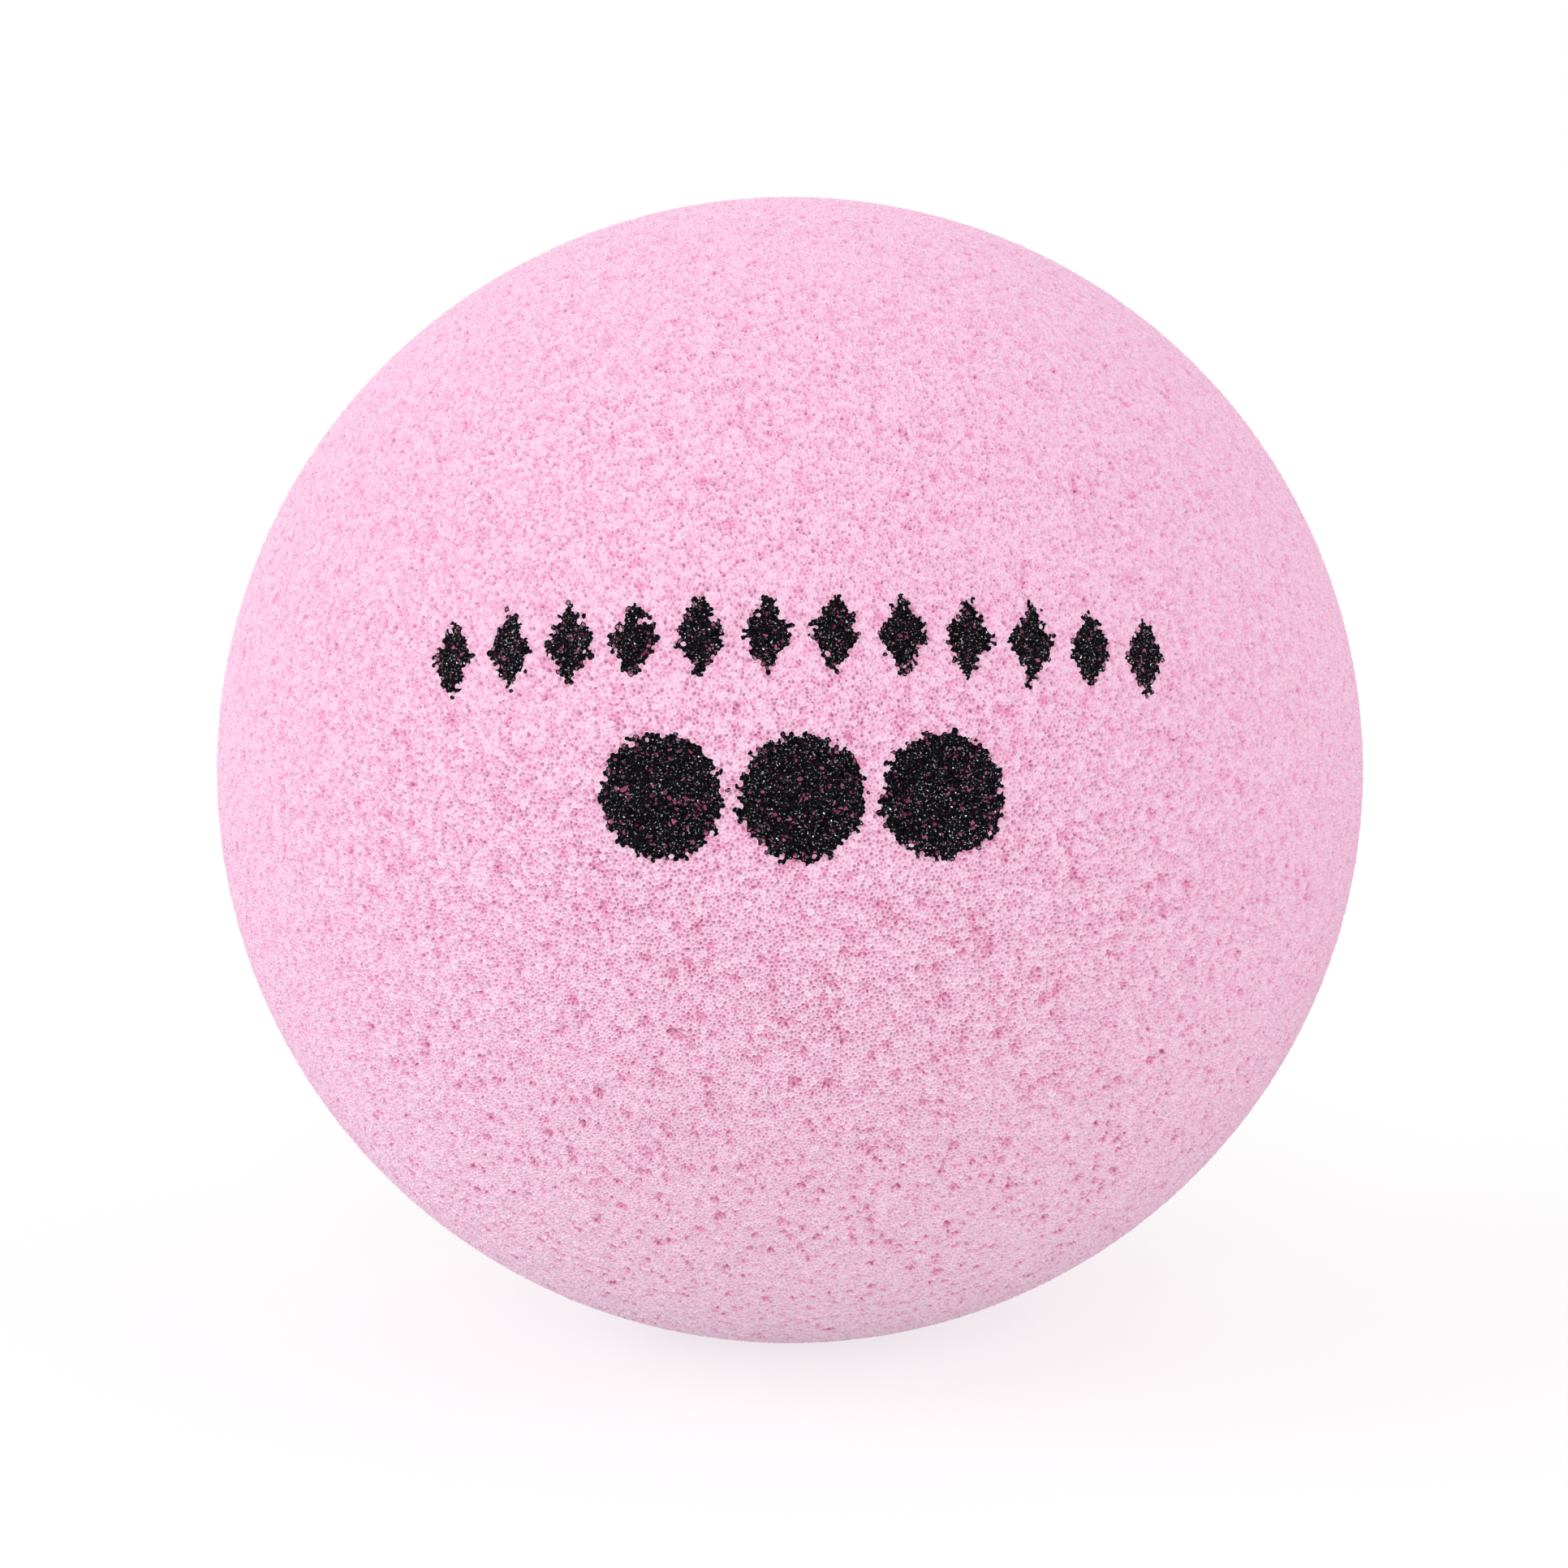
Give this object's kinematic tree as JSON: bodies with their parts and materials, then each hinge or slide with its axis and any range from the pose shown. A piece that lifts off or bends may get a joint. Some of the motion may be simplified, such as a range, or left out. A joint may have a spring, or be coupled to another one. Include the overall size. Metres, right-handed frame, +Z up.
{
  "type": "foam ball",
  "caption": "Soft open-cell foam play ball with a printed row of diamonds over a row of round pips on its front, for indoor throwing, catching and rolling.",
  "frame": {"origin": "middle of the flat that the ball rests on, straight under the ball's centre", "axes": "+Z up through the ball's centre, -Y towards the side with the print, +X to the right of someone who looks at the print"},
  "size_m": [0.12, 0.12, 0.1196],
  "materials": {
    "foam": "open-cell soft foam, pale pink, matte",
    "print_ink": "black screen-print ink on the cell edges, slightly glossy"
  },
  "bodies": {
    "root": {"foam_body": "foam", "print_pip_01": "print_ink", "print_pip_02": "print_ink", "print_pip_03": "print_ink", "print_diamond_01": "print_ink", "print_diamond_02": "print_ink", "print_diamond_03": "print_ink", "print_diamond_04": "print_ink", "print_diamond_05": "print_ink", "print_diamond_06": "print_ink", "print_diamond_07": "print_ink", "print_diamond_08": "print_ink", "print_diamond_09": "print_ink", "print_diamond_10": "print_ink", "print_diamond_11": "print_ink", "print_diamond_12": "print_ink"}
  },
  "joints": []
}
